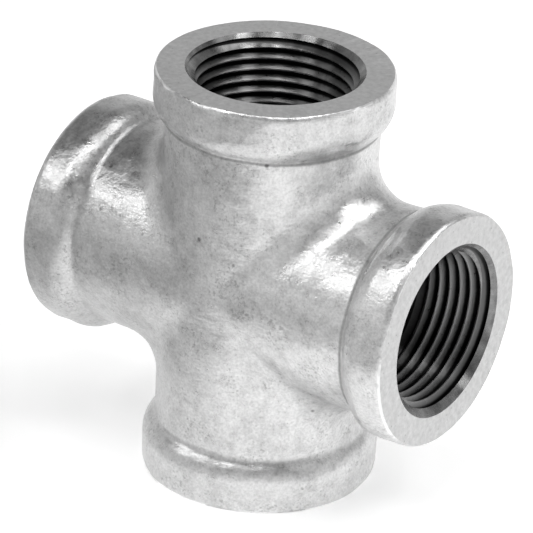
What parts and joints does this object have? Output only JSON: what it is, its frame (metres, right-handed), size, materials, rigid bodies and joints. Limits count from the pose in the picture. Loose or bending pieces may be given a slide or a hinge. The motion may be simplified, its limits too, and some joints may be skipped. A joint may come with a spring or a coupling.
{
  "type": "pipe cross fitting",
  "caption": "Galvanized malleable iron pipe cross: equal banded arms at right angles, each with a female tapered pipe thread.",
  "frame": {"origin": "where the axes of the two pipe runs cross, in the middle of the fitting", "axes": "+Z along the upright run towards the top port, +X along the level run, Y across the fitting's thinnest side"},
  "size_m": [0.0666, 0.037, 0.0666],
  "materials": {
    "galvanized_iron": "hot-dip galvanized cast skin, dull silver grey with brighter burnished patches; ports and end faces machined"
  },
  "bodies": {
    "root": {"cross_casting": "galvanized_iron"}
  },
  "joints": []
}
